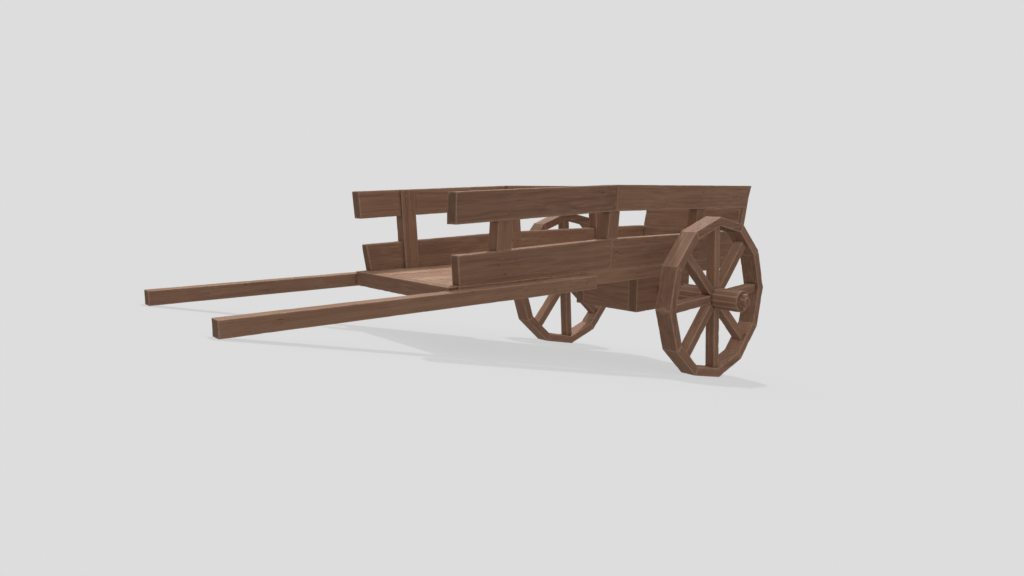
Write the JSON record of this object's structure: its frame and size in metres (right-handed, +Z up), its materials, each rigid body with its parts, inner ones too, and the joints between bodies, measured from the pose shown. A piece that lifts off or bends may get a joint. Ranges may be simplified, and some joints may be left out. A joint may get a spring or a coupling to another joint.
{
  "type": "two-wheeled wooden farm cart",
  "caption": "All-timber two-wheeled cart with open railed sides, a fixed tailboard and a pair of shafts, parked nose down.",
  "frame": {"origin": "on the ground under the middle of the cart's box, with the cart parked on its wheels and shaft tips", "axes": "+X forward towards the shaft tips, +Y to the cart's left, +Z up"},
  "size_m": [3.9322, 1.974, 1.4653],
  "materials": {
    "shaft_wood": "aged, unpainted, matt",
    "bed_wood": "aged, unpainted, matt",
    "board_wood": "aged, unpainted, matt",
    "frame_wood": "aged, unpainted, matt",
    "wheel_wood": "aged, unpainted, matt",
    "axle_wood": "aged, unpainted, matt"
  },
  "bodies": {
    "cart": {"axle_beam": "axle_wood", "axle_cheeks": "axle_wood", "axle_end_boards": "axle_wood", "bed_crossbeams": "frame_wood", "bed_planks": "bed_wood", "bed_sills": "frame_wood", "front_crossbeam": "frame_wood", "left_lower_board_front": "board_wood", "left_lower_board_rear": "board_wood", "left_main_post": "frame_wood", "left_shaft": "shaft_wood", "left_stakes": "frame_wood", "left_tail_post": "frame_wood", "left_upper_rail_front": "board_wood", "left_upper_rail_rear": "board_wood", "linchpins": "axle_wood", "right_lower_board_front": "board_wood", "right_lower_board_rear": "board_wood", "right_main_post": "frame_wood", "right_shaft": "shaft_wood", "right_stakes": "frame_wood", "right_tail_post": "frame_wood", "right_upper_rail_front": "board_wood", "right_upper_rail_rear": "board_wood", "tail_battens": "frame_wood", "tail_boards": "board_wood"},
    "left_wheel": {"left_wheel_elbow_felloes": "wheel_wood", "left_wheel_nave": "wheel_wood", "left_wheel_spokes": "wheel_wood", "left_wheel_straight_felloes": "wheel_wood"},
    "right_wheel": {"right_wheel_elbow_felloes": "wheel_wood", "right_wheel_nave": "wheel_wood", "right_wheel_spokes": "wheel_wood", "right_wheel_straight_felloes": "wheel_wood"}
  },
  "joints": [
    {"name": "left_wheel_turn", "type": "hinge", "parent": "cart", "child": "left_wheel", "pos_m": [-1.27128, 0.72, 0.54092], "axis": [0, 1, 0], "continuous": true},
    {"name": "right_wheel_turn", "type": "hinge", "parent": "cart", "child": "right_wheel", "pos_m": [-1.27128, -0.72, 0.54092], "axis": [0, 1, 0], "continuous": true}
  ]
}
